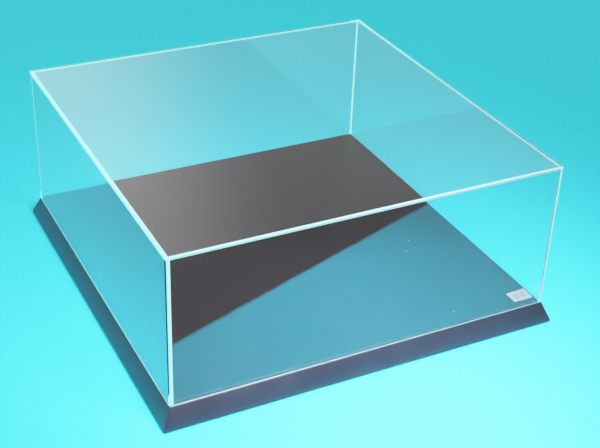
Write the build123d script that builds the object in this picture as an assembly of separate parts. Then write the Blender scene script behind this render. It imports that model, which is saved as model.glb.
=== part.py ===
"""Display case: a clear acrylic cover that lifts off a black bevelled wooden plinth.

Millimetres, +Z up. The origin is the middle of the case on the table that its feet stand on.
The front of the case faces -Y, and its left side faces -X.
"""

from build123d import *
import os

os.makedirs("parts", exist_ok=True)

# ---- the cover -------------------------------------------------------------------------
cover_side = 400.0          # outside width and depth
cover_height = 155.0        # from the foot of the walls to the top face
sheet = 3.0                 # thickness of the acrylic sheet
polished_corner = 2.5       # radius of the cover's four upright corners
polished_rim = 1.0          # radius along the cover's upper rim

# ---- the plinth ------------------------------------------------------------------------
plinth_flare = 9.0          # how far the bevel runs out past the cover, before its edge is softened
ledge_height = 22.0         # from the table up to the ledge that the cover stands on
foot_thickness = 1.5        # height of the pads under the plinth
rail_width = 36.0           # width of a rail at the bottom
softened_edge = 1.2         # radius along the bevel's lower edge
softened_corner = 3.0       # radius of the plinth's four corners, seen from above

# ---- the deck --------------------------------------------------------------------------
deck_rise = 3.0             # how far the deck stands above the ledge, to locate the cover
cover_clearance = 1.0       # between the deck's edge and the inside of the cover
deck_gap = 0.2              # between the deck's edge and the rebate
board_thickness = 5.2
laminate_thickness = 0.8
laminate_chamfer = 0.3

# ---- what stiffens the plinth from below -----------------------------------------------
block_leg = 46.0            # legs of the triangular corner blocks
block_blunt = 5.0           # cut off the block's square corner, clear of the mitre's glue
block_height = 12.0
batten_width = 30.0
batten_screw_pitch = 120.0

# ---- countersunk wood screws, 3.5 x 16 -------------------------------------------------
screw_radius = 1.75
screw_head_radius = 3.5
screw_length = 16.0
screw_point = 3.0           # length of the tapered tip
screw_clearance = 0.02      # round the screw in the wood
recess_depth = 1.4
recess_span = 3.8
recess_width = 0.9

# ---- steel wedges across the mitres ----------------------------------------------------
nail_leg = 5.0
nail_strip = 0.5            # thickness of the steel strip
nail_height = 10.0
nail_inset = 7.0            # from the rail's inner face to the wedge's point

# ---- feet and label --------------------------------------------------------------------
foot_radius = 7.0
foot_along = 160.0          # from the middle of the case to a foot, along the rail
label_width = 22.0
label_depth = 16.0
label_thickness = 0.15
label_corner = 1.0
label_inset = 17.0          # from the cover's outside to the middle of the label

# ---- worked out from the sizes above ---------------------------------------------------
cover_half = cover_side / 2
plinth_half = cover_half + plinth_flare
inner_half = plinth_half - rail_width
deck_half = cover_half - sheet - cover_clearance
rebate_half = deck_half + deck_gap
deck_top = ledge_height + deck_rise
board_top = deck_top - laminate_thickness
board_bottom = board_top - board_thickness
block_bottom = board_bottom - block_height
wall_height = cover_height - sheet
top_bottom = ledge_height + wall_height
screw_head_height = screw_head_radius - screw_radius


def plate(width, depth, height, x=0.0, y=0.0, bottom=0.0):
    """A box standing on the height given by bottom, with its middle at x and y."""
    return Pos(x, y, bottom) * Box(width, depth, height, align=(Align.CENTER, Align.CENTER, Align.MIN))


# ---- the clear cover -------------------------------------------------------------------
def top_panel():
    """The lid, lying over the tops of all four walls."""
    panel = plate(cover_side, cover_side, sheet, bottom=top_bottom)
    rounded = fillet(panel.edges().filter_by(Axis.Z), polished_corner)
    return fillet(rounded.faces().sort_by(Axis.Z)[-1].edges(), polished_rim)


def side_wall(side):
    """A left or right wall, as deep as the cover, with its outer upright edges polished."""
    middle = side * (cover_half - sheet / 2)
    wall = plate(sheet, cover_side, wall_height, x=middle, bottom=ledge_height)
    upright = wall.edges().filter_by(Axis.Z).sort_by(Axis.X)
    outer = upright[:2] if side < 0 else upright[-2:]
    return fillet(outer, polished_corner)


def end_wall(side):
    """A front or back wall, standing between the two side walls."""
    width = cover_side - 2 * sheet
    middle = side * (cover_half - sheet / 2)
    return plate(width, sheet, wall_height, y=middle, bottom=ledge_height)


# ---- the plinth's rails ----------------------------------------------------------------
def rail_section():
    """Section of a rail: x runs outwards from the middle of the case, y is the height."""
    lower_edge = (plinth_half, foot_thickness)
    points = [
        (inner_half, foot_thickness),
        lower_edge,
        (cover_half, ledge_height),
        (rebate_half, ledge_height),
        (rebate_half, board_bottom),
        (inner_half, board_bottom),
    ]
    section = make_face(Polyline(*points, close=True))
    corner = section.vertices().sort_by_distance(Vector(lower_edge[0], lower_edge[1], 0))[0]
    return fillet(corner, softened_edge)


def nail_outline():
    """A wedge's chevron in plan, with its point towards the middle of the case."""
    leg = Pos(nail_leg / 2, 0, 0) * Rectangle(nail_leg, nail_strip)
    return leg + Rot(0, 0, 90) * leg + Circle(nail_strip / 2)


def mitre_nail(turn):
    """The wedge at one corner, pressed up into the mitre from below."""
    reach = inner_half + nail_inset
    nail = extrude(nail_outline(), amount=nail_height)
    return Rot(0, 0, turn) * Pos(reach, reach, foot_thickness) * nail


def mitre_nails():
    """All four wedges."""
    return [mitre_nail(turn) for turn in (0, 90, 180, 270)]


def rail(turn):
    """A rail cut at 45 degrees at both ends. Turn 0 is the right-hand rail."""
    section = Plane.XZ * rail_section()
    bar = extrude(section, amount=plinth_half, both=True)
    sector = Polyline((0, 0), (plinth_half, -plinth_half), (plinth_half, plinth_half), close=True)
    bar = bar & extrude(make_face(sector), amount=deck_top)
    outline = RectangleRounded(2 * plinth_half, 2 * plinth_half, softened_corner)
    bar = bar & extrude(outline, amount=deck_top)
    bar = bar - mitre_nail(0) - mitre_nail(270)
    return Rot(0, 0, turn) * bar


# ---- the deck --------------------------------------------------------------------------
def screw(x, y):
    """A countersunk wood screw, standing head down at x and y, flush with the block's underside."""
    shoulder = screw_length - screw_point
    half = Polyline(
        (0, 0),
        (screw_head_radius, 0),
        (screw_radius, screw_head_height),
        (screw_radius, shoulder),
        (0, screw_length),
        close=True,
    )
    body = revolve(Plane.XZ * make_face(half), Axis.Z)
    slot = plate(recess_span, recess_width, recess_depth)
    body = body - slot - Rot(0, 0, 90) * slot
    return Pos(x, y, block_bottom) * body


def screw_hole(x, y):
    """The hole that a screw leaves, countersunk at the underside."""
    grown_head = screw_head_radius + screw_clearance
    grown = screw_radius + screw_clearance
    half = Polyline(
        (0, 0),
        (grown_head, 0),
        (grown, grown_head - grown),
        (grown, screw_length),
        (0, screw_length),
        close=True,
    )
    return Pos(x, y, block_bottom) * revolve(Plane.XZ * make_face(half), Axis.Z)


def block_screw_places():
    """The four screws, a third of the way out from each block's square corner."""
    place = inner_half - block_leg / 3
    return [(x, y) for x in (-place, place) for y in (-place, place)]


def batten_screw_places():
    """The three screws along the batten."""
    return [(x, 0.0) for x in (-batten_screw_pitch, 0.0, batten_screw_pitch)]


def deck_board():
    """The board let into the rails, with a hole for every screw."""
    board = plate(2 * deck_half, 2 * deck_half, board_thickness, bottom=board_bottom)
    for x, y in block_screw_places() + batten_screw_places():
        board = board - screw_hole(x, y)
    return board


def deck_laminate():
    """The black surface of the deck, with its upper edge eased."""
    skin = plate(2 * deck_half, 2 * deck_half, laminate_thickness, bottom=board_top)
    return chamfer(skin.faces().sort_by(Axis.Z)[-1].edges(), laminate_chamfer)


def price_label():
    """A blank sticker on the deck, near the front right-hand corner."""
    place = cover_half - label_inset
    outline = RectangleRounded(label_width, label_depth, label_corner)
    return Pos(place, -place, deck_top) * extrude(outline, amount=label_thickness)


# ---- what stiffens the plinth from below -----------------------------------------------
def corner_block(side_x, side_y):
    """A triangular glue block in one inner corner of the frame."""
    outline = Polyline(
        (-block_blunt, 0),
        (-block_leg, 0),
        (0, -block_leg),
        (0, -block_blunt),
        close=True,
    )
    block = extrude(make_face(outline), amount=block_height)
    turn = {(1, 1): 0, (-1, 1): 90, (-1, -1): 180, (1, -1): 270}[(side_x, side_y)]
    block = Rot(0, 0, turn) * Pos(inner_half, inner_half, block_bottom) * block
    place = inner_half - block_leg / 3
    return block - screw_hole(side_x * place, side_y * place)


def deck_batten():
    """The bearer across the middle of the deck's underside, from rail to rail."""
    batten = plate(2 * inner_half, batten_width, block_height, bottom=block_bottom)
    for x, y in batten_screw_places():
        batten = batten - screw_hole(x, y)
    return batten


def foot(side_x, side_y):
    """A stick-on pad in the middle of the front or back rail's width."""
    middle = (plinth_half + inner_half) / 2
    return Pos(side_x * foot_along, side_y * middle, 0) * Cylinder(
        foot_radius, foot_thickness, align=(Align.CENTER, Align.CENTER, Align.MIN)
    )


def save(name, shape):
    """Write one node's solids as a STEP file."""
    if isinstance(shape, list):
        shape = Compound(children=shape)
    export_step(shape, f"parts/{name}.step")


save("top_panel", top_panel())
save("left_panel", side_wall(-1))
save("right_panel", side_wall(1))
save("front_panel", end_wall(-1))
save("back_panel", end_wall(1))

for rail_name, turn in (("right", 0), ("back", 90), ("left", 180), ("front", 270)):
    save(f"{rail_name}_rail", rail(turn))

save("deck_board", deck_board())
save("deck_laminate", deck_laminate())
save("price_label", price_label())
save("deck_batten", deck_batten())

for end_name, side_y in (("front", -1), ("back", 1)):
    for side_name, side_x in (("left", -1), ("right", 1)):
        save(f"corner_block_{end_name}_{side_name}", corner_block(side_x, side_y))
        save(f"foot_{end_name}_{side_name}", foot(side_x, side_y))

save("block_screws", [screw(x, y) for x, y in block_screw_places()])
save("batten_screws", [screw(x, y) for x, y in batten_screw_places()])
save("mitre_nails", mitre_nails())
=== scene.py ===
"""A clear display case on a black bevelled plinth: its finished looks.

Sizes are in metres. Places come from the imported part, whose front faces -Y and left side -X.
"""

import math

import bmesh
import bpy
from bpy.props import FloatProperty, FloatVectorProperty, IntProperty, PointerProperty
from mathutils import Matrix, Vector


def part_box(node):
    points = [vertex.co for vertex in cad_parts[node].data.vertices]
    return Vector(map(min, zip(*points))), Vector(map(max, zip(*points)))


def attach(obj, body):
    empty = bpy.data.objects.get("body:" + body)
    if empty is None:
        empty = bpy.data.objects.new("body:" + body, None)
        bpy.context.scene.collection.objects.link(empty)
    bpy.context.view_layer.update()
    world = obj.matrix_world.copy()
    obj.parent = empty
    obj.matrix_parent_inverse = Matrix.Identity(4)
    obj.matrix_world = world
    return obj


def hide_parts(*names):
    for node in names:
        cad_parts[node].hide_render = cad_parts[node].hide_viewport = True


bl_info = {
    "name": "Display Case",
    "version": (1, 0, 0),
    "blender": (4, 5, 0),
    "location": "3D View > Sidebar > Display Case",
    "description": "Builds a clear display case on a black bevelled plinth",
    "category": "Object",
}

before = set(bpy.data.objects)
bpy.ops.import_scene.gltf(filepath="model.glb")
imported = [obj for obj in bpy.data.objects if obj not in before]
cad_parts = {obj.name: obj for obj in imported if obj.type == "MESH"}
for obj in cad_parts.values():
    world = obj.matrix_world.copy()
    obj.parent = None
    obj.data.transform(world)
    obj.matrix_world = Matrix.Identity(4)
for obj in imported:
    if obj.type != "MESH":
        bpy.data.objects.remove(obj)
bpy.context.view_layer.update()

MM = 0.001
# Two places nearer than this count as one.
HAIR = 0.001 * MM
QUARTER = math.pi / 2
WEDGE_LEG = 5.0 * MM


# ---- settings that a user would change ----


def length_setting(name, description, default):
    """A length that the user can set."""
    return FloatProperty(name=name, description=description, default=default, unit="LENGTH")


def colour_setting(name, description, default):
    """A colour that the user can set."""
    return FloatVectorProperty(
        name=name, description=description, default=default, subtype="COLOR", min=0.0, max=1.0
    )


class DisplayCaseSizes(bpy.types.PropertyGroup):
    """Small sizes that finish the edges and joints."""

    corner_round: length_setting("Corner round", "Radius of the cover's four upright corners", 2.5 * MM)
    rim_round: length_setting("Rim round", "Radius of the cover's upper rim", 1.15 * MM)
    joint_band: length_setting("Joint band", "Width of the side walls' milky ends on the front", 4.0 * MM)
    cement_round: length_setting("Cement round", "Radius of the fillets in the cover's corners", 0.9 * MM)
    foot_chamfer: length_setting("Foot chamfer", "How much is scraped off the walls' outer foot", 0.7 * MM)
    seam: length_setting("Seam", "Thickness of the cement between two acrylic sheets", 0.04 * MM)
    bevel_run: length_setting("Bevel run", "How far the plinth's bevel runs out past the cover", 9.0 * MM)
    foot_ease: length_setting("Foot ease", "How far up the plinth's lower edge is softened", 2.3 * MM)
    arris_ease: length_setting("Arris ease", "How far the other edges of the rails are eased", 0.35 * MM)
    mitre_round: length_setting("Mitre round", "Radius sanded onto the plinth's four corners", 1.3 * MM)
    label_curl: length_setting("Label curl", "How far the price label's loose corner lifts", 0.7 * MM)
    fastener_seed: IntProperty(
        name="Fastener seed", description="Fixes how far each screw happens to be turned", default=7
    )


class DisplayCaseColours(bpy.types.PropertyGroup):
    """Colours of the finishes."""

    worked_edge: colour_setting("Worked edge", "Acrylic that is scraped or cemented", (0.11, 0.20, 0.21))
    lacquer: colour_setting("Lacquer", "The plinth's black lacquer", (0.009, 0.014, 0.021))
    deck: colour_setting("Deck", "The deck's laminate", (0.005, 0.0055, 0.006))
    floor: colour_setting("Floor", "The paper that the case stands on", (0.042, 0.61, 0.77))


# ---- shader and geometry node helpers ----


def feed(tree, node, inputs):
    """Sets each input of a node to a value, or links it to the socket given."""
    for key, value in inputs.items():
        if isinstance(value, bpy.types.NodeSocket):
            tree.links.new(value, node.inputs[key])
        else:
            node.inputs[key].default_value = value
    return node


def node(tree, kind, inputs=None, **settings):
    """A new node with its settings and inputs."""
    made = tree.nodes.new(kind)
    for name, value in settings.items():
        setattr(made, name, value)
    return feed(tree, made, inputs or {})


def calculate(tree, operation, first, second=0.0, clamp=False):
    """One step of arithmetic. Gives its value socket."""
    step = node(tree, "ShaderNodeMath", {0: first, 1: second}, operation=operation, use_clamp=clamp)
    return step.outputs[0]


def blend_colours(tree, share, first, second):
    """Mixes two colours. Gives the mixed colour socket."""
    mixer = node(tree, "ShaderNodeMix", {0: share, 6: first, 7: second}, data_type="RGBA")
    return mixer.outputs[2]


def remap(tree, value, low, high, to_low=0.0, to_high=1.0):
    """Stretches a value from one range to another, held at both ends."""
    inputs = {"Value": value, "From Min": low, "From Max": high, "To Min": to_low, "To Max": to_high}
    return node(tree, "ShaderNodeMapRange", inputs, interpolation_type="SMOOTHSTEP").outputs[0]


def noise(tree, place, scale, detail=3.0, roughness=0.5):
    """Noise at a place. Gives its value socket."""
    inputs = {"Vector": place, "Scale": scale, "Detail": detail, "Roughness": roughness}
    return node(tree, "ShaderNodeTexNoise", inputs).outputs[0]


def stretched(tree, place, scale, turn=(0.0, 0.0, 0.0)):
    """The place turned, then stretched by a scale along each axis."""
    turned = node(tree, "ShaderNodeMapping", {"Vector": place, "Rotation": turn})
    return node(tree, "ShaderNodeMapping", {"Vector": turned.outputs[0], "Scale": scale}).outputs[0]


def object_place(tree):
    """Object coordinates, in metres."""
    return node(tree, "ShaderNodeTexCoord").outputs["Object"]


def rgba(colour, level=1.0):
    """A colour made lighter or darker by a level, with full alpha."""
    return (*(level * channel for channel in colour), 1.0)


def new_group(name, numbers, results):
    """An empty shader group: a place and the named numbers go in, the named results come out."""
    group = bpy.data.node_groups.new(name, "ShaderNodeTree")
    group.interface.new_socket("Place", in_out="INPUT", socket_type="NodeSocketVector")
    for title, default in numbers.items():
        socket = group.interface.new_socket(title, in_out="INPUT", socket_type="NodeSocketFloat")
        socket.default_value = default
    for title in results:
        group.interface.new_socket(title, in_out="OUTPUT", socket_type="NodeSocketFloat")
    start = group.nodes.new("NodeGroupInput")
    end = group.nodes.new("NodeGroupOutput")
    return group, start.outputs, end


def use_group(tree, name, inputs):
    """Places a shader group. Gives its output sockets."""
    placed = node(tree, "ShaderNodeGroup", node_tree=bpy.data.node_groups[name])
    return feed(tree, placed, inputs).outputs


# ---- effects shared by several finishes ----


def make_scratches():
    """Fine straight hairlines that run two ways, as cloths leave them."""
    group, given, end = new_group("Fine Scratches", {"Per Metre": 60.0, "Amount": 0.5}, ["Mask"])
    lines = []
    for turn in (0.5, -0.9):
        along = stretched(group, given["Place"], (0.05, 1.0, 1.0), (0.0, 0.0, turn))
        streak = noise(group, along, given["Per Metre"], detail=6.0, roughness=0.75)
        lines.append(remap(group, streak, 0.66, 0.74))
    either = calculate(group, "MAXIMUM", lines[0], lines[1])
    patches = remap(group, noise(group, given["Place"], 14.0), 0.45, 0.62)
    mask = calculate(group, "MULTIPLY", either, patches)
    mask = calculate(group, "MULTIPLY", mask, given["Amount"], clamp=True)
    feed(group, end, {"Mask": mask})


def make_dust():
    """Sparse specks, each in its own cell and most cells empty."""
    numbers = {"Per Metre": 90.0, "Size": 0.06, "Share": 0.2}
    group, given, end = new_group("Dust Specks", numbers, ["Mask"])
    cells = node(group, "ShaderNodeTexVoronoi", {"Vector": given["Place"], "Scale": given["Per Metre"]})
    near = calculate(group, "LESS_THAN", cells.outputs["Distance"], given["Size"])
    tint = node(group, "ShaderNodeSeparateColor", {0: cells.outputs["Color"]})
    kept = calculate(group, "LESS_THAN", tint.outputs[0], given["Share"])
    feed(group, end, {"Mask": calculate(group, "MULTIPLY", near, kept)})


def make_grain():
    """Wood grain that runs along X: broad growth bands with fine pores in them."""
    numbers = {"Bands Per Metre": 60.0, "Pores Per Metre": 700.0}
    group, given, end = new_group("Wood Grain", numbers, ["Band", "Pore"])
    drift = stretched(group, given["Place"], (0.12, 1.0, 1.0))
    bands = noise(group, drift, given["Bands Per Metre"], detail=4.0, roughness=0.6)
    fibres = stretched(group, given["Place"], (0.03, 1.0, 1.0))
    pores = noise(group, fibres, given["Pores Per Metre"], detail=2.0)
    feed(group, end, {"Band": remap(group, bands, 0.3, 0.7), "Pore": remap(group, pores, 0.35, 0.65)})


def make_worn_edges():
    """Broken wear along a piece's eased edges, which its arris attribute marks."""
    group, given, end = new_group("Worn Edges", {"Arris": 0.0, "Amount": 0.5}, ["Mask"])
    broken = remap(group, noise(group, given["Place"], 55.0, detail=5.0, roughness=0.7), 0.5, 0.66)
    mask = calculate(group, "MULTIPLY", given["Arris"], broken)
    feed(group, end, {"Mask": calculate(group, "MULTIPLY", mask, given["Amount"], clamp=True)})


# ---- finishes ----


def new_finish(name):
    """A material with an empty tree. Gives the material and its tree."""
    material = bpy.data.materials.new(name)
    material.use_nodes = True
    material.node_tree.nodes.clear()
    return material, material.node_tree


def surfaced(material, shader):
    """Puts a shader on the material's surface. Gives the material."""
    node(material.node_tree, "ShaderNodeOutputMaterial", {"Surface": shader.outputs[0]})
    return material


def shine(material, inputs):
    """Finishes a material with a Principled shader."""
    return surfaced(material, node(material.node_tree, "ShaderNodeBsdfPrincipled", inputs))


def shine_or(material, share, usual, other):
    """Finishes a material with two shaders, mixed by a share that the kind of ray decides."""
    inputs = {0: share, 1: usual.outputs[0], 2: other.outputs[0]}
    return surfaced(material, node(material.node_tree, "ShaderNodeMixShader", inputs))


def bump(tree, height, depth, strength=1.0):
    """A bump of that depth in metres. Gives its normal socket."""
    inputs = {"Height": height, "Distance": depth, "Strength": strength}
    return node(tree, "ShaderNodeBump", inputs).outputs[0]


def polished_acrylic():
    """Polished cast sheet: clear, faintly rippled, with hairline scuffs. Lamps shine through it."""
    material, tree = new_finish("polished_acrylic")
    place = object_place(tree)
    scuffs = use_group(tree, "Fine Scratches", {"Place": place, "Per Metre": 260.0, "Amount": 0.6})["Mask"]
    smudges = remap(tree, noise(tree, place, 9.0, detail=4.0), 0.3, 0.8, 0.004, 0.02)
    roughness = calculate(tree, "ADD", smudges, calculate(tree, "MULTIPLY", scuffs, 0.05))
    ripple = noise(tree, place, 5.0, detail=0.0)
    faint_tint = (0.985, 0.996, 0.996, 1.0)
    glass = node(tree, "ShaderNodeBsdfPrincipled", {
        "Base Color": faint_tint,
        "Roughness": roughness,
        "IOR": 1.49,
        "Transmission Weight": 1.0,
        "Normal": bump(tree, ripple, 0.05 * MM),
    })
    path = node(tree, "ShaderNodeLightPath")
    lamp_side = calculate(tree, "MAXIMUM", path.outputs["Is Shadow Ray"], path.outputs["Is Diffuse Ray"])
    passed_light = (0.955, 0.965, 0.965, 1.0)
    through = node(tree, "ShaderNodeBsdfTransparent", {0: passed_light})
    return shine_or(material, lamp_side, glass, through)


def worked_edge():
    """Scraped or cemented acrylic: milky, with painted light: an emission, strongest towards the back left,
    that stands in for the light the sheets carry to it.
    """
    colour = bpy.context.scene.case_colours.worked_edge
    material, tree = new_finish("worked_edge")
    place = object_place(tree)
    chatter = noise(tree, place, 900.0, detail=3.0, roughness=0.7)
    streaks = noise(tree, place, 60.0, detail=3.0)
    tone = remap(tree, streaks, 0.3, 0.7)
    # Painted light: the emission fades from the back left to the front right, painting the light the sheets
    # pipe to their edges.
    painted_glow_way = (-3.0, 6.0, 0.0)
    nearness = node(tree, "ShaderNodeVectorMath", {0: place, 1: painted_glow_way}, operation="DOT_PRODUCT")
    painted_glow_share = remap(tree, nearness.outputs["Value"], -1.8, 0.6, 0.35, 1.0)
    unlit = (0.0, 0.0, 0.0, 1.0)
    painted_glow_colour = (0.28, 1.0, 1.0, 1.0)
    return shine(material, {
        "Base Color": blend_colours(tree, tone, rgba(colour, 0.86), rgba(colour)),
        "Roughness": remap(tree, chatter, 0.3, 0.7, 0.32, 0.6),
        "Specular IOR Level": 0.1,
        "Emission Color": blend_colours(tree, painted_glow_share, unlit, painted_glow_colour),
        "Emission Strength": 1.5,
        "Normal": bump(tree, chatter, 0.03 * MM),
    })


def black_lacquer():
    """Satin black lacquer over wood: its grain just telegraphs through, and its arrises are rubbed."""
    colour = bpy.context.scene.case_colours.lacquer
    material, tree = new_finish("black_lacquer")
    along = node(tree, "ShaderNodeAttribute", attribute_name="grain_place")
    place = along.outputs["Vector"]
    arris = node(tree, "ShaderNodeAttribute", attribute_name="arris").outputs["Fac"]
    growth = {"Place": place, "Bands Per Metre": 90.0, "Pores Per Metre": 900.0}
    grain = use_group(tree, "Wood Grain", growth)
    worn = use_group(tree, "Worn Edges", {"Place": place, "Arris": arris, "Amount": 0.55})["Mask"]
    cloudy = noise(tree, place, 22.0, detail=4.0)
    body = blend_colours(tree, remap(tree, cloudy, 0.35, 0.65), rgba(colour), rgba(colour, 1.2))
    bare_arris = (0.10, 0.095, 0.09, 1.0)
    rubbed = blend_colours(tree, worn, body, bare_arris)
    low_gloss = remap(tree, cloudy, 0.3, 0.7, 0.28, 0.33)
    roughness = calculate(tree, "ADD", low_gloss, calculate(tree, "MULTIPLY", worn, 0.25))
    relief = calculate(tree, "ADD", calculate(tree, "MULTIPLY", grain["Pore"], 0.6), grain["Band"])
    return shine(material, {
        "Base Color": rubbed,
        "Roughness": roughness,
        "Specular IOR Level": 0.55,
        "Normal": bump(tree, relief, 0.02 * MM, 0.6),
    })


def satin_laminate():
    """Semi-gloss black laminate with an orange-peel skin, hairlines and a little dust."""
    colour = bpy.context.scene.case_colours.deck
    material, tree = new_finish("satin_laminate")
    place = object_place(tree)
    peel = noise(tree, place, 420.0, detail=2.0)
    scuffs = use_group(tree, "Fine Scratches", {"Place": place, "Per Metre": 180.0, "Amount": 0.7})["Mask"]
    sparse = {"Place": place, "Per Metre": 75.0, "Size": 0.05, "Share": 0.07}
    specks = use_group(tree, "Dust Specks", sparse)["Mask"]
    haze = remap(tree, noise(tree, place, 6.0, detail=3.0), 0.2, 0.8)
    body = blend_colours(tree, haze, rgba(colour), rgba(colour, 1.6))
    scuff_grey = (0.25, 0.25, 0.25, 1.0)
    dust_grey = (0.42, 0.43, 0.42, 1.0)
    scuffed = blend_colours(tree, calculate(tree, "MULTIPLY", scuffs, 0.12), body, scuff_grey)
    specked = blend_colours(tree, specks, scuffed, dust_grey)
    satin = remap(tree, haze, 0.0, 1.0, 0.36, 0.40)
    roughness = calculate(tree, "ADD", satin, calculate(tree, "MULTIPLY", scuffs, 0.1))
    return shine(material, {
        "Base Color": specked,
        "Roughness": roughness,
        "Specular IOR Level": 0.22,
        "Normal": bump(tree, peel, 0.002 * MM),
    })


def fibreboard():
    """Bare fibreboard, felted brown, with its edges sealed black and the sealer lapping under a little."""
    material, tree = new_finish("fibreboard")
    place = object_place(tree)
    felt = noise(tree, place, 900.0, detail=4.0, roughness=0.7)
    cloud = noise(tree, place, 30.0, detail=3.0)
    tone = calculate(tree, "MULTIPLY", felt, cloud)
    dark_fibres = (0.20, 0.125, 0.07, 1.0)
    light_fibres = (0.36, 0.25, 0.15, 1.0)
    sealer_black = (0.01, 0.01, 0.01, 1.0)
    bare = blend_colours(tree, remap(tree, tone, 0.15, 0.4), dark_fibres, light_fibres)
    sealer_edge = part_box("deck_board")[1].y - 0.3 * MM
    parts = node(tree, "ShaderNodeSeparateXYZ", {0: place})
    across = calculate(tree, "ABSOLUTE", parts.outputs["X"])
    along = calculate(tree, "ABSOLUTE", parts.outputs["Y"])
    outmost = calculate(tree, "MAXIMUM", across, along)
    lap = calculate(tree, "MULTIPLY", noise(tree, place, 120.0), 2.0 * MM)
    sealed = calculate(tree, "GREATER_THAN", calculate(tree, "ADD", outmost, lap), sealer_edge)
    colour = blend_colours(tree, sealed, bare, sealer_black)
    relief = bump(tree, felt, 0.05 * MM)
    return shine(material, {"Base Color": colour, "Roughness": 0.85, "Normal": relief})


def pine(name, turn):
    """Planed pine with its grain turned about Z from X."""
    material, tree = new_finish(name)
    place = stretched(tree, object_place(tree), (1.0, 1.0, 1.0), (0.0, 0.0, turn))
    growth = {"Place": place, "Bands Per Metre": 190.0, "Pores Per Metre": 1500.0}
    grain = use_group(tree, "Wood Grain", growth)
    late_wood = (0.52, 0.32, 0.15, 1.0)
    early_wood = (0.74, 0.54, 0.32, 1.0)
    pore_brown = (0.42, 0.25, 0.12, 1.0)
    bands = blend_colours(tree, grain["Band"], late_wood, early_wood)
    shade = calculate(tree, "MULTIPLY", grain["Pore"], 0.3)
    colour = blend_colours(tree, shade, bands, pore_brown)
    relief = bump(tree, grain["Pore"], 0.06 * MM)
    return shine(material, {"Base Color": colour, "Roughness": 0.62, "Normal": relief})


def passivated_steel():
    """Zinc-plated screws with a yellow passivated bloom."""
    material, tree = new_finish("passivated_steel")
    place = object_place(tree)
    bloom = remap(tree, noise(tree, place, 420.0, detail=3.0), 0.35, 0.65)
    yellow = (0.72, 0.58, 0.30, 1.0)
    straw = (0.78, 0.72, 0.55, 1.0)
    colour = blend_colours(tree, bloom, yellow, straw)
    roughness = remap(tree, noise(tree, place, 1500.0), 0.3, 0.7, 0.22, 0.42)
    return shine(material, {"Base Color": colour, "Metallic": 1.0, "Roughness": roughness})


def bright_steel():
    """Rolled steel strip with drawing marks."""
    material, tree = new_finish("bright_steel")
    place = stretched(tree, object_place(tree), (1.0, 1.0, 0.05))
    marks = noise(tree, place, 2600.0, detail=2.0)
    dull_steel = (0.45, 0.46, 0.48, 1.0)
    clean_steel = (0.68, 0.69, 0.71, 1.0)
    colour = blend_colours(tree, marks, dull_steel, clean_steel)
    roughness = remap(tree, marks, 0.3, 0.7, 0.25, 0.45)
    return shine(material, {"Base Color": colour, "Metallic": 1.0, "Roughness": roughness})


def felt_pad():
    """Black felt with matted fibres."""
    material, tree = new_finish("felt_pad")
    place = object_place(tree)
    fibres = noise(tree, place, 2400.0, detail=5.0, roughness=0.8)
    deep_black = (0.012, 0.012, 0.013, 1.0)
    worn_black = (0.06, 0.06, 0.062, 1.0)
    colour = blend_colours(tree, remap(tree, fibres, 0.35, 0.7), deep_black, worn_black)
    relief = bump(tree, fibres, 0.15 * MM)
    return shine(material, {"Base Color": colour, "Roughness": 0.95, "Normal": relief})


def printed_paper():
    """White label stock with a faint printed block of bars and no lettering, its colour painted down to a
    dim grey as painted shade.
    """
    material, tree = new_finish("printed_paper")
    low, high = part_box("price_label")
    place = object_place(tree)
    centred = node(tree, "ShaderNodeMapping", {"Vector": place, "Location": -(low + high) / 2})
    parts = node(tree, "ShaderNodeSeparateXYZ", {0: centred.outputs[0]})
    across = calculate(tree, "ABSOLUTE", parts.outputs["X"])
    along = calculate(tree, "ABSOLUTE", parts.outputs["Y"])
    half_block = (7.0 * MM, 4.2 * MM)
    within_sides = calculate(tree, "LESS_THAN", across, half_block[0])
    within_ends = calculate(tree, "LESS_THAN", along, half_block[1])
    inside = calculate(tree, "MULTIPLY", within_sides, within_ends)
    bar_place = node(tree, "ShaderNodeCombineXYZ", {"X": parts.outputs["X"]}).outputs[0]
    bars = calculate(tree, "GREATER_THAN", noise(tree, bar_place, 1300.0, detail=0.0), 0.5)
    printed = calculate(tree, "MULTIPLY", calculate(tree, "MULTIPLY", bars, inside), 0.9)
    fibres = noise(tree, place, 1600.0, detail=4.0)
    # Painted shade: the white paper is given a dim grey colour; its two tones differ at random with the
    # fibres.
    paper_fibres_painted_shade = (0.125, 0.14, 0.145, 1.0)
    paper_painted_shade = (0.155, 0.17, 0.175, 1.0)
    ink = (0.045, 0.033, 0.04, 1.0)
    paper = blend_colours(tree, fibres, paper_fibres_painted_shade, paper_painted_shade)
    colour = blend_colours(tree, printed, paper, ink)
    relief = bump(tree, fibres, 0.02 * MM)
    return shine(material, {"Base Color": colour, "Roughness": 0.55, "Normal": relief})


def pale_paper():
    """The plain floor: pale paper with a faint tooth."""
    colour = bpy.context.scene.case_colours.floor
    material, tree = new_finish("pale_paper")
    place = object_place(tree)
    tooth = noise(tree, place, 160.0, detail=4.0, roughness=0.6)
    tone = remap(tree, tooth, 0.35, 0.65)
    return shine(material, {
        "Base Color": blend_colours(tree, tone, rgba(colour, 0.93), rgba(colour)),
        "Roughness": 0.85,
        "Specular IOR Level": 0.1,
    })


# ---- mesh helpers ----


def show(name, data):
    """An object for a lamp, a camera or a mesh whose place is already in its vertices."""
    shown = bpy.data.objects.new(name, data)
    bpy.context.scene.collection.objects.link(shown)
    return shown


def smooth_mesh(name, build, materials):
    """A mesh from finished bmesh work, smooth but for its sharp edges."""
    mesh = bpy.data.meshes.new(name)
    build.to_mesh(mesh)
    build.free()
    for material in materials:
        mesh.materials.append(material)
    mesh.polygons.foreach_set("use_smooth", [True] * len(mesh.polygons))
    mesh.set_sharp_from_angle(angle=math.radians(35))
    mesh.update()
    return mesh


def closed_mesh(name, build, materials):
    """A mesh from a closed shape, with its faces turned outwards first."""
    bmesh.ops.recalc_face_normals(build, faces=build.faces)
    return smooth_mesh(name, build, materials)


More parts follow.
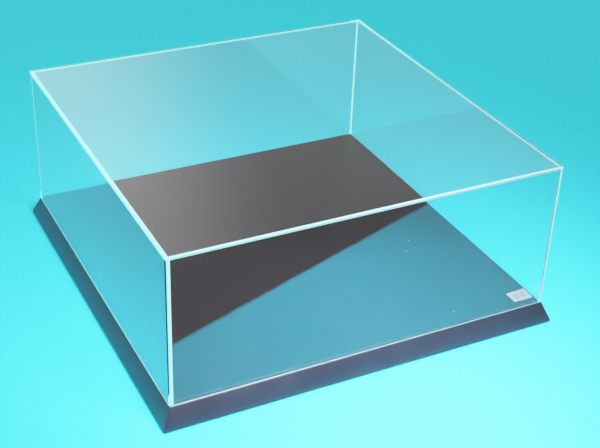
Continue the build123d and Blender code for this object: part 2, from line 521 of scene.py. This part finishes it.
def block_between(low, high):
    """A box as bmesh work, to be cut and eased."""
    build = bmesh.new()
    middle = (low + high) / 2
    size = high - low
    place = Matrix.Translation(middle) @ Matrix.Diagonal((*size, 1.0))
    bmesh.ops.create_cube(build, size=1.0, matrix=place)
    return build


def ease(build, radius, segments, chosen):
    """Rounds the chosen edges."""
    edges = [edge for edge in build.edges if chosen(edge)]
    settings = {"segments": segments, "profile": 0.5, "affect": "EDGES", "clamp_overlap": True}
    bmesh.ops.bevel(build, geom=edges, offset=radius, **settings)


def is_upright(edge):
    """True if an edge runs along Z."""
    first, second = (corner.co for corner in edge.verts)
    return (first - second).xy.length < HAIR


def at_height(edge, height):
    """True if both ends of an edge are at that height."""
    return all(abs(corner.co.z - height) < HAIR for corner in edge.verts)


def ring_of(build, radius, height, count, bulge=None):
    """A ring of points round Z."""
    corners = []
    for index in range(count):
        angle = 2 * math.pi * index / count
        reach = radius + (bulge(angle) if bulge else 0.0)
        corners.append(build.verts.new((reach * math.cos(angle), reach * math.sin(angle), height)))
    return corners


def skin_between(build, first, second):
    """Faces between two rings of the same count."""
    count = len(first)
    for index in range(count):
        following = (index + 1) % count
        build.faces.new((first[index], first[following], second[following], second[index]))


def cap_and_skin(build, rings):
    """Skins a row of rings and closes both ends."""
    for first, second in zip(rings, rings[1:]):
        skin_between(build, first, second)
    build.faces.new(rings[0])
    build.faces.new(rings[-1])


def thicken(build, faces, height):
    """Closes a flat sheet of faces into a slab of that height."""
    grown = bmesh.ops.extrude_face_region(build, geom=faces)
    lifted = [item for item in grown["geom"] if isinstance(item, bmesh.types.BMVert)]
    bmesh.ops.translate(build, verts=lifted, vec=(0, 0, height))


# ---- the clear cover ----


def outer_skin(low, high, sizes):
    """The cover's outside: rounded corners and rim, a scraped foot, and the side walls' ends marked off."""
    skin = block_between(low, high)
    ease(skin, sizes.corner_round, 8, is_upright)
    ease(skin, sizes.rim_round, 6, lambda edge: at_height(edge, high.z))
    ease(skin, sizes.foot_chamfer, 1, lambda edge: at_height(edge, low.z))
    nearly_level = 0.999
    nearly_upright = 0.01
    joint = high.x - sizes.joint_band
    for place in (-joint, joint):
        everything = skin.verts[:] + skin.edges[:] + skin.faces[:]
        bmesh.ops.bisect_plane(skin, geom=everything, plane_co=(place, 0, 0), plane_no=(1, 0, 0))
    for face in skin.faces:
        face.normal_update()
        across, along, upward = (abs(share) for share in face.normal)
        wall_end = along > across and abs(face.calc_center_median().x) > joint
        rounded = nearly_upright < upward < nearly_level
        face.material_index = int(rounded or (upward <= nearly_upright and wall_end))
    return skin


def inner_skin(low, high, sizes):
    """The cover's inside, with the milky fillets of cement in its corners. It faces the hollow."""
    skin = block_between(low, high)
    ease(skin, sizes.cement_round, 8, is_upright)
    ease(skin, sizes.cement_round, 6, lambda edge: at_height(edge, high.z))
    nearly_flat = 0.9999
    for face in skin.faces:
        face.normal_update()
        face.material_index = int(max(abs(share) for share in face.normal) < nearly_flat)
    bmesh.ops.reverse_faces(skin, faces=skin.faces)
    return skin


def join_skins(skins, foot_height):
    """Opens each skin at the foot and joins them there. Gives one closed hollow shell."""
    build = bmesh.new()
    for skin in skins:
        floor = [face for face in skin.faces if face.calc_center_median().z < foot_height + HAIR]
        bmesh.ops.delete(skin, geom=floor, context="FACES_ONLY")
        holder = bpy.data.meshes.new("skin")
        skin.to_mesh(holder)
        skin.free()
        build.from_mesh(holder)
        bpy.data.meshes.remove(holder)
    open_edges = [edge for edge in build.edges if edge.is_boundary]
    foot = bmesh.ops.bridge_loops(build, edges=open_edges)
    for face in foot["faces"]:
        face.material_index = 1
    return build


def cement_ring(outer_low, outer_high, inner_low, inner_high, sizes):
    """The flat ring of cement between the lid and the tops of the walls, just inside the outer faces."""
    build = bmesh.new()
    inset = sizes.corner_round / 3
    outer = [(outer_low.x + inset, outer_low.y + inset), (outer_high.x - inset, outer_high.y - inset)]
    inner = [(inner_low.x, inner_low.y), (inner_high.x, inner_high.y)]
    loops = []
    for height in (inner_high.z, inner_high.z + sizes.seam):
        for (left, front), (right, back) in (outer, inner):
            corners = [(left, front), (right, front), (right, back), (left, back)]
            loops.append([build.verts.new((x, y, height)) for x, y in corners])
    low_outer, low_inner, high_outer, high_inner = loops
    section = [low_outer, low_inner, high_inner, high_outer, low_outer]
    for first, second in zip(section, section[1:]):
        skin_between(build, first, second)
    return build


class DISPLAYCASE_OT_cover(bpy.types.Operator):
    """Build the clear cover: five sheets cemented into one hollow shell"""

    bl_idname = "display_case.cover"
    bl_label = "Clear cover"

    def execute(self, context):
        sizes = context.scene.case_sizes
        lid_low, lid_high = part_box("top_panel")
        foot_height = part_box("left_panel")[0].z + sizes.seam
        outer_low = Vector((lid_low.x, lid_low.y, foot_height))
        inner_low = Vector((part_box("left_panel")[1].x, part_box("front_panel")[1].y, foot_height))
        inner_high = Vector((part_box("right_panel")[0].x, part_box("back_panel")[0].y, lid_low.z))
        skins = [outer_skin(outer_low, lid_high, sizes), inner_skin(inner_low, inner_high, sizes)]
        build = join_skins(skins, foot_height)
        # This finish paints light: its emission makes the milky edges and the cement line shine though they
        # are no lamp.
        milky = worked_edge()
        mesh = closed_mesh("clear_cover", build, [polished_acrylic(), milky])
        for face in mesh.polygons:
            face.use_smooth = face.material_index == 1
        cover = show("clear_cover", mesh)
        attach(cover, "cover")
        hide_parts("top_panel", "front_panel", "back_panel", "left_panel", "right_panel")
        build = cement_ring(outer_low, lid_high, inner_low, inner_high, sizes)
        cement = show("cement_line", closed_mesh("cement_line", build, [milky]))
        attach(cement, "cover")
        return {"FINISHED"}


# ---- the plinth's rails ----


def rail_section(sizes):
    """Corners of a rail's section as (out, height, ease, seen), going round from the inner foot."""
    low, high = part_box("front_rail")
    cover_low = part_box("top_panel")[0]
    board_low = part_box("deck_board")[0]
    ledge_edge = -cover_low.y
    inner = -high.y
    board_gap = 0.2 * MM
    rebate = -board_low.y + board_gap
    small = sizes.arris_ease
    return [
        (inner, low.z, small, False),
        (ledge_edge + sizes.bevel_run, low.z, sizes.foot_ease, True),
        (ledge_edge, high.z, small, True),
        (rebate, high.z, small, False),
        (rebate, board_low.z, small, False),
        (inner, board_low.z, small, False),
    ]


def eased_outline(corners, steps=5):
    """Points round a section as (out, height, arris, seen), with each corner turned into a curve."""
    points = []
    for index, (out, height, reach, seen) in enumerate(corners):
        here = Vector((out, height))
        before = Vector(corners[index - 1][:2])
        after = Vector(corners[(index + 1) % len(corners)][:2])
        start = here + (before - here).normalized() * reach
        stop = here + (after - here).normalized() * reach
        for step in range(steps):
            share = step / (steps - 1)
            point = start * (1 - share) ** 2 + here * 2 * share * (1 - share) + stop * share**2
            arris = math.sin(math.pi * share)
            points.append((point.x, point.y, arris, seen))
    return points


def rail_stations(turn_steps=4):
    """Places along a rail as (side, share of the corner's turn), from one mitre to the other."""
    shares = [step / (turn_steps - 1) for step in range(turn_steps)]
    return [(-1, share) for share in reversed(shares)] + [(1, share) for share in shares]


def rail_piece(sizes, material, name, turn):
    """One mitred moulding, rounded where it shows. It carries grain and arris marks."""
    outline = eased_outline(rail_section(sizes))
    build = bmesh.new()
    arris_layer = build.verts.layers.float.new("arris")
    grain_layer = build.verts.layers.float_vector.new("grain_place")
    spin = Matrix.Rotation(turn, 3, "Z")
    # Each rail shows another stretch of the grain.
    grain_shift = 3.1 * turn
    rings = []
    for side, share in rail_stations():
        ring = []
        angle = share * math.pi / 4
        for out, height, arris, seen in outline:
            radius = sizes.mitre_round if seen else sizes.arris_ease
            along = out - radius + radius * math.sin(angle) - sizes.seam
            reach = out - radius + radius * math.cos(angle)
            corner = build.verts.new(spin @ Vector((side * along, -reach, height)))
            corner[arris_layer] = max(arris, share if seen else 0.0)
            corner[grain_layer] = Vector((side * along + grain_shift, reach, height))
            ring.append(corner)
        rings.append(ring)
    cap_and_skin(build, rings)
    rail = show(name, closed_mesh(name, build, [material]))
    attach(rail, "plinth")
    return rail


class DISPLAYCASE_OT_rails(bpy.types.Operator):
    """Build the plinth's four mitred rails"""

    bl_idname = "display_case.rails"
    bl_label = "Bevelled rails"

    def execute(self, context):
        sizes = context.scene.case_sizes
        material = black_lacquer()
        for index, side_name in enumerate(("front", "right", "back", "left")):
            rail = rail_piece(sizes, material, f"{side_name}_moulding", index * QUARTER)
            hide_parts(f"{side_name}_rail")
        return {"FINISHED"}


# ---- the deck ----


def deck_skin():
    """The laminate, with its edges eased by a file."""
    low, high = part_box("deck_laminate")
    build = block_between(low, high)
    filed_corner = 0.5 * MM
    filed_edge = 0.3 * MM
    ease(build, filed_corner, 3, is_upright)
    ease(build, filed_edge, 3, lambda edge: at_height(edge, high.z))
    skin = show("deck_skin", smooth_mesh("deck_skin", build, [satin_laminate()]))
    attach(skin, "plinth")
    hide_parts("deck_laminate")


def sticker(sizes):
    """The price label: thin rounded paper whose loose corner has begun to lift."""
    low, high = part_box("price_label")
    radius = 1.0 * MM
    glue = 0.03 * MM
    # Of the 2.0 from the stuck corner to the loose one.
    stuck_down = 1.4
    columns, rows = 22, 16
    middle = (low + high) / 2
    half = (high - low) / 2
    build = bmesh.new()
    grid = []
    for row in range(rows + 1):
        for column in range(columns + 1):
            offset = Vector((half.x * (2 * column / columns - 1), half.y * (2 * row / rows - 1)))
            over = Vector((abs(offset.x) - half.x + radius, abs(offset.y) - half.y + radius))
            if over.x > 0 and over.y > 0 and over.length > radius:
                held = over.normalized() * radius
                offset.x = math.copysign(half.x - radius + held.x, offset.x)
                offset.y = math.copysign(half.y - radius + held.y, offset.y)
            loose = max(0.0, column / columns + row / rows - stuck_down)
            lift = sizes.label_curl * (loose / (2.0 - stuck_down)) ** 2
            place = (middle.x + offset.x, middle.y + offset.y, low.z + glue + lift)
            grid.append(build.verts.new(place))
    for row in range(rows):
        for column in range(columns):
            first = row * (columns + 1) + column
            above = first + columns + 1
            build.faces.new((grid[first], grid[first + 1], grid[above + 1], grid[above]))
    thicken(build, build.faces[:], high.z - low.z - glue)
    paper = show("price_sticker", closed_mesh("price_sticker", build, [printed_paper()]))
    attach(paper, "plinth")
    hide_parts("price_label")


class DISPLAYCASE_OT_deck(bpy.types.Operator):
    """Build the deck's black skin and the price label on it, and finish the board beneath"""

    bl_idname = "display_case.deck"
    bl_label = "Deck and label"

    def execute(self, context):
        deck_skin()
        sticker(context.scene.case_sizes)
        dress("deck_board", fibreboard())
        return {"FINISHED"}


# ---- bare wood under the deck ----


def dress(node_name, material):
    """Gives a CAD node a better material and leaves its shape alone."""
    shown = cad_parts[node_name]
    if not shown.material_slots:
        shown.data.materials.append(material)
    for held in shown.material_slots:
        held.material = material


class DISPLAYCASE_OT_stiffeners(bpy.types.Operator):
    """Finish the corner blocks and the batten in planed pine"""

    bl_idname = "display_case.stiffeners"
    bl_label = "Blocks and batten"

    def execute(self, context):
        dress("deck_batten", pine("pine_batten", 0.0))
        slant = math.pi / 4
        corners = {"front_left": -slant, "front_right": slant, "back_left": slant, "back_right": -slant}
        for corner, turn in corners.items():
            dress(f"corner_block_{corner}", pine(f"pine_block_{corner}", turn))
        return {"FINISHED"}


# ---- fasteners and pads, placed by geometry nodes ----


def copies_tree():
    """A tree that stands one template on every point, turned as the point says and a little at random."""
    tree = bpy.data.node_groups.new("Place Copies", "GeometryNodeTree")
    sockets = {}
    kinds = {"Points": "Geometry", "Template": "Object", "Finish": "Material"}
    kinds.update({"Turn Spread": "Float", "Seed": "Int"})
    for title, kind in kinds.items():
        socket = tree.interface.new_socket(title, in_out="INPUT", socket_type=f"NodeSocket{kind}")
        sockets[title] = socket.identifier
    tree.interface.new_socket("Copies", in_out="OUTPUT", socket_type="NodeSocketGeometry")
    given = tree.nodes.new("NodeGroupInput").outputs
    end = tree.nodes.new("NodeGroupOutput")
    template = node(tree, "GeometryNodeObjectInfo", {"Object": given["Template"], "As Instance": True})
    turn = node(tree, "GeometryNodeInputNamedAttribute", {"Name": "turn"}, data_type="FLOAT")
    least = calculate(tree, "MULTIPLY", given["Turn Spread"], -1.0)
    limits = {2: least, 3: given["Turn Spread"], "Seed": given["Seed"]}
    chance = node(tree, "FunctionNodeRandomValue", limits, data_type="FLOAT")
    total = calculate(tree, "ADD", turn.outputs[0], chance.outputs[1])
    spin = node(tree, "ShaderNodeCombineXYZ", {"Z": total})
    shape = template.outputs["Geometry"]
    stand = {"Points": given["Points"], "Instance": shape, "Rotation": spin.outputs[0]}
    stood = node(tree, "GeometryNodeInstanceOnPoints", stand)
    real = node(tree, "GeometryNodeRealizeInstances", {0: stood.outputs[0]})
    paint = {"Geometry": real.outputs[0], "Material": given["Finish"]}
    painted = node(tree, "GeometryNodeSetMaterial", paint)
    feed(tree, end, {0: painted.outputs[0]})
    return tree, sockets


def place_copies(name, template_mesh, points, material, spread=0.0):
    """One plain mesh object with a copy of the template at each (place, turn)."""
    tree, sockets = copies_tree()
    cloud = bpy.data.meshes.new(name)
    cloud.from_pydata([place for place, turn in points], [], [])
    turns = cloud.attributes.new("turn", "FLOAT", "POINT")
    turns.data.foreach_set("value", [turn for place, turn in points])
    holder = show(name, cloud)
    template = show(f"{name}_template", template_mesh)
    stand = holder.modifiers.new("copies", "NODES")
    stand.node_group = tree
    stand[sockets["Template"]] = template
    stand[sockets["Finish"]] = material
    stand[sockets["Turn Spread"]] = spread
    stand[sockets["Seed"]] = bpy.context.scene.case_sizes.fastener_seed
    depsgraph = bpy.context.evaluated_depsgraph_get()
    finished = bpy.data.meshes.new_from_object(holder.evaluated_get(depsgraph))
    holder.modifiers.remove(stand)
    holder.data = finished
    bpy.data.objects.remove(template)
    if not finished.polygons:
        raise RuntimeError(f"{name} came out empty")
    return holder


def cross_ring(build, half_span, half_width, height):
    """The twelve corners of a cross, going round."""
    corners = []
    for quarter in range(4):
        spin = Matrix.Rotation(quarter * QUARTER, 3, "Z")
        for point in ((half_span, -half_width), (half_span, half_width), (half_width, half_width)):
            corners.append(build.verts.new(spin @ Vector((*point, height))))
    return corners


def screw_head():
    """Radius of a screw's head."""
    low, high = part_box("batten_screws")
    return (high.y - low.y) / 2


def screw_mesh(material):
    """A countersunk wood screw, head down on the origin: cross recess, neck, thread and point."""
    low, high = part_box("batten_screws")
    head = screw_head()
    length = high.z - low.z
    shank = head / 2
    core = 0.62 * shank
    pitch = 1.6 * MM
    neck = 4.0 * MM
    point = 3.0 * MM
    blunt_tip = 0.04
    around = 24
    steps_per_turn = 6
    build = bmesh.new()
    recess = cross_ring(build, 0.54 * head, 0.13 * head, 0.02 * MM)
    recess_floor = cross_ring(build, 0.34 * head, 0.09 * head, 1.4 * MM)
    skin_between(build, recess, recess_floor)
    build.faces.new(recess_floor)
    face_ring = ring_of(build, 0.93 * head, 0.0, around)
    rim = ring_of(build, head, 0.12 * MM, around)
    edges = [build.edges.new((a, b)) for a, b in zip(face_ring, face_ring[1:] + face_ring[:1])]
    recess_edges = [edge for edge in build.edges if all(v in recess for v in edge.verts)]
    bmesh.ops.bridge_loops(build, edges=edges + recess_edges)
    skin_between(build, face_ring, rim)
    last = ring_of(build, shank, head - shank, around)
    skin_between(build, rim, last)
    collar = ring_of(build, shank, neck, around)
    skin_between(build, last, collar)
    last = collar
    rows = steps_per_turn * int((length - neck) / pitch)
    for row in range(1, rows + 1):
        height = neck + (length - neck) * row / rows
        taper = min(1.0, max(blunt_tip, (length - height) / point))

        def thread(angle, height=height, taper=taper):
            phase = (height / pitch - angle / (2 * math.pi)) % 1.0
            crest = max(0.0, 1.0 - abs(phase - 0.5) * 4.0)
            return (shank - core) * crest * taper

        ring = ring_of(build, core * taper, height, around, thread)
        skin_between(build, last, ring)
        last = ring
    build.faces.new(last)
    return closed_mesh("screw", build, [material])


def wedge_mesh(material):
    """A bent steel strip, V-shaped in plan, that holds a mitre shut."""
    half_strip = 0.25 * MM
    low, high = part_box("mitre_nails")
    outline = [
        (-half_strip, -half_strip),
        (WEDGE_LEG, -half_strip),
        (WEDGE_LEG, half_strip),
        (half_strip, half_strip),
        (half_strip, WEDGE_LEG),
        (-half_strip, WEDGE_LEG),
    ]
    build = bmesh.new()
    face = build.faces.new([build.verts.new((x, y, 0.0)) for x, y in outline])
    thicken(build, [face], high.z - low.z)
    bmesh.ops.recalc_face_normals(build, faces=build.faces)
    rolled = 0.06 * MM
    ease(build, rolled, 2, lambda edge: edge.calc_face_angle(0.0) > 0.5)
    return smooth_mesh("wedge", build, [material])


def pad_mesh(material):
    """A felt disc, a little barrelled where the case's weight squashes it."""
    low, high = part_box("foot_front_left")
    radius = (high.x - low.x) / 2
    thickness = high.z - low.z
    squash = 0.35 * MM
    around = 40
    levels = 7
    build = bmesh.new()
    rings = []
    for level in range(levels):
        share = level / (levels - 1)
        inset = squash * (2 * share - 1) ** 4
        rings.append(ring_of(build, radius - inset, thickness * share, around))
    cap_and_skin(build, rings)
    return closed_mesh("pad", build, [material])


class DISPLAYCASE_OT_fasteners(bpy.types.Operator):
    """Build the screws under the deck and the steel wedges across the mitres"""

    bl_idname = "display_case.fasteners"
    bl_label = "Screws and wedges"

    def execute(self, context):
        yellow = passivated_steel()
        low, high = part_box("block_screws")
        head = screw_head()
        across = (low.x + head, high.x - head)
        along = (low.y + head, high.y - head)
        spots = [((x, y, low.z), 0.0) for x in across for y in along]
        blocks = place_copies("corner_block_screws", screw_mesh(yellow), spots, yellow, math.pi)
        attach(blocks, "plinth")
        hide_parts("block_screws")
        low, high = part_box("batten_screws")
        spots = [((x, 0.0, low.z), 0.0) for x in (low.x + head, (low.x + high.x) / 2, high.x - head)]
        batten = place_copies("deck_batten_screws", screw_mesh(yellow), spots, yellow, math.pi)
        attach(batten, "plinth")
        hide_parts("batten_screws")
        low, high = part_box("mitre_nails")
        reach = high.x - WEDGE_LEG
        proud = 0.06 * MM
        spots = []
        for quarter in range(4):
            place = Matrix.Rotation(quarter * QUARTER, 3, "Z") @ Vector((reach, reach, low.z - proud))
            spots.append((place, quarter * QUARTER))
        bright = bright_steel()
        wedges = place_copies("mitre_wedges", wedge_mesh(bright), spots, bright)
        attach(wedges, "plinth")
        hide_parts("mitre_nails")
        return {"FINISHED"}


class DISPLAYCASE_OT_pads(bpy.types.Operator):
    """Build the four felt pads that the plinth stands on"""

    bl_idname = "display_case.pads"
    bl_label = "Felt pads"

    def execute(self, context):
        names = [f"foot_{end}_{side}" for end in ("front", "back") for side in ("left", "right")]
        spots = []
        for name in names:
            low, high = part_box(name)
            middle = (low + high) / 2
            spots.append(((middle.x, middle.y, low.z), 0.0))
        felt = felt_pad()
        pads = place_copies("felt_pads", pad_mesh(felt), spots, felt, math.pi)
        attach(pads, "plinth")
        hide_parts(*names)
        return {"FINISHED"}


# ---- floor, light and camera ----


def make_floor():
    """A wide sheet of plain paper."""
    half_width = 6.0
    build = bmesh.new()
    bmesh.ops.create_grid(build, x_segments=8, y_segments=8, size=half_width)
    floor = show("floor", smooth_mesh("floor", build, [pale_paper()]))


def make_reflection_card():
    """A painted reflection: a dark card on the floor before the case, which the camera doesn't see and
    which casts no shade. Only reflections show it, as the end of the lit paper.
    """
    material, tree = new_finish("dark_card")
    dark = node(tree, "ShaderNodeBsdfDiffuse", {"Color": (0.02, 0.02, 0.02, 1.0)})
    clear = node(tree, "ShaderNodeBsdfTransparent")
    path = node(tree, "ShaderNodeLightPath")
    # Painted reflection: dark only to rays that have been reflected, clear to the camera and to all other
    # rays.
    mirrored = calculate(tree, "GREATER_THAN", path.outputs["Glossy Depth"], 0.5)
    shine_or(material, mirrored, clear, dark)
    edge_place = (0.03, -0.3735, 2 * MM)
    edge_turn = math.radians(-19.9)
    half_card = 2.0
    build = bmesh.new()
    bmesh.ops.create_grid(build, x_segments=1, y_segments=1, size=half_card)
    place = Matrix.Translation(edge_place) @ Matrix.Rotation(edge_turn, 4, "Z")
    bmesh.ops.transform(build, matrix=place @ Matrix.Translation((0, -half_card, 0)), verts=build.verts)
    reflection_card = show("dark_card", smooth_mesh("dark_card", build, [material]))
    reflection_card.visible_diffuse = False
    reflection_card.visible_shadow = False


def make_world():
    """A neutral room with a soft bright side at the back left."""
    world = bpy.data.worlds.new("studio")
    bpy.context.scene.world = world
    world.use_nodes = True
    tree = world.node_tree
    tree.nodes.clear()
    end = tree.nodes.new("ShaderNodeOutputWorld")
    direction = node(tree, "ShaderNodeTexCoord").outputs["Generated"]
    bright_side = Vector((-0.75, 0.5, 0.43)).normalized()
    facing = node(tree, "ShaderNodeVectorMath", {0: direction, 1: bright_side}, operation="DOT_PRODUCT")
    room_level = 0.42
    bright_level = 1.30
    side = remap(tree, facing.outputs["Value"], 0.30, 0.46, room_level, bright_level)
    height = node(tree, "ShaderNodeSeparateXYZ", {0: direction}).outputs["Z"]
    overhead = remap(tree, height, 0.6, 0.95, 0.0, 0.7)
    level = calculate(tree, "ADD", side, overhead)
    light = node(tree, "ShaderNodeBackground", {"Color": (1.0, 0.99, 0.98, 1.0), "Strength": level})
    tree.links.new(light.outputs[0], end.inputs["Surface"])


def make_lamp():
    """One round soft lamp with a grid on it, out of the camera's sight."""
    lamp = bpy.data.lights.new("key", "AREA")
    lamp.shape = "DISK"
    lamp.size = 0.4
    lamp.spread = 1.15
    lamp.energy = 8.0
    lamp.color = (0.80, 0.63, 0.74)
    aim = Vector((-0.1, 0.58, -1.0))
    holder = show("key", lamp)
    holder.location = (0.04, -0.56, 0.60)
    holder.rotation_euler = aim.to_track_quat("-Z", "Y").to_euler()
    holder.visible_camera = False


def soften_highlights():
    """A tone curve with a soft shoulder, so that the brightest paper keeps some colour."""
    brightest = 5.0
    shoulder = ((0.5, 0.47), (0.8, 0.665), (1.3, 0.84), (1.9, 0.93), (2.8, 0.97))
    view = bpy.context.scene.view_settings
    view.view_transform = "Standard"
    view.use_curve_mapping = True
    view.curve_mapping.white_level = (brightest, brightest, brightest)
    combined = view.curve_mapping.curves[3]
    for light, shown in shoulder:
        combined.points.new(light / brightest, shown)
    for point in combined.points:
        point.handle_type = "AUTO_CLAMPED"
    view.curve_mapping.update()


def make_camera():
    """The camera, above the front left corner and rolled a little."""
    place = Vector((-0.4819, -0.9685, 0.7061))
    target = Vector((-0.0010, -0.0527, 0.0800))
    roll = math.radians(2.312)
    lens = bpy.data.cameras.new("camera")
    lens.lens = 71.93
    lens.sensor_width = 36.0
    lens.clip_start = 0.01
    camera = show("camera", lens)
    aim = (target - place).to_track_quat("-Z", "Y").to_matrix().to_4x4()
    camera.matrix_world = Matrix.Translation(place) @ aim @ Matrix.Rotation(roll, 4, "Z")
    bpy.context.scene.camera = camera


class DISPLAYCASE_OT_stage(bpy.types.Operator):
    """Set up the floor, the light and the camera"""

    bl_idname = "display_case.stage"
    bl_label = "Stage"

    def execute(self, context):
        make_floor()
        make_reflection_card()
        make_world()
        make_lamp()
        make_camera()
        soften_highlights()
        return {"FINISHED"}


# ---- panel and running ----

PIECE_OPERATORS = (
    DISPLAYCASE_OT_cover,
    DISPLAYCASE_OT_rails,
    DISPLAYCASE_OT_deck,
    DISPLAYCASE_OT_stiffeners,
    DISPLAYCASE_OT_fasteners,
    DISPLAYCASE_OT_pads,
    DISPLAYCASE_OT_stage,
)


class DISPLAYCASE_PT_panel(bpy.types.Panel):
    """Lists the pieces of the display case"""

    bl_idname = "DISPLAYCASE_PT_panel"
    bl_label = "Display Case"
    bl_space_type = "VIEW_3D"
    bl_region_type = "UI"
    bl_category = "Display Case"

    def draw(self, context):
        column = self.layout.column()
        for settings in (context.scene.case_sizes, context.scene.case_colours):
            for name in settings.__annotations__:
                column.prop(settings, name)
        for operator in PIECE_OPERATORS:
            column.operator(operator.bl_idname)


CLASSES = (DisplayCaseSizes, DisplayCaseColours, *PIECE_OPERATORS, DISPLAYCASE_PT_panel)


def register():
    for each in CLASSES:
        bpy.utils.register_class(each)
    bpy.types.Scene.case_sizes = PointerProperty(type=DisplayCaseSizes)
    bpy.types.Scene.case_colours = PointerProperty(type=DisplayCaseColours)


def unregister():
    del bpy.types.Scene.case_colours
    del bpy.types.Scene.case_sizes
    for each in reversed(CLASSES):
        bpy.utils.unregister_class(each)


def main():
    """Builds everything in order."""
    register()
    make_scratches()
    make_dust()
    make_grain()
    make_worn_edges()
    bpy.ops.display_case.cover()
    bpy.ops.display_case.rails()
    bpy.ops.display_case.deck()
    bpy.ops.display_case.stiffeners()
    bpy.ops.display_case.fasteners()
    bpy.ops.display_case.pads()
    bpy.ops.display_case.stage()


if __name__ == "__main__":
    main()
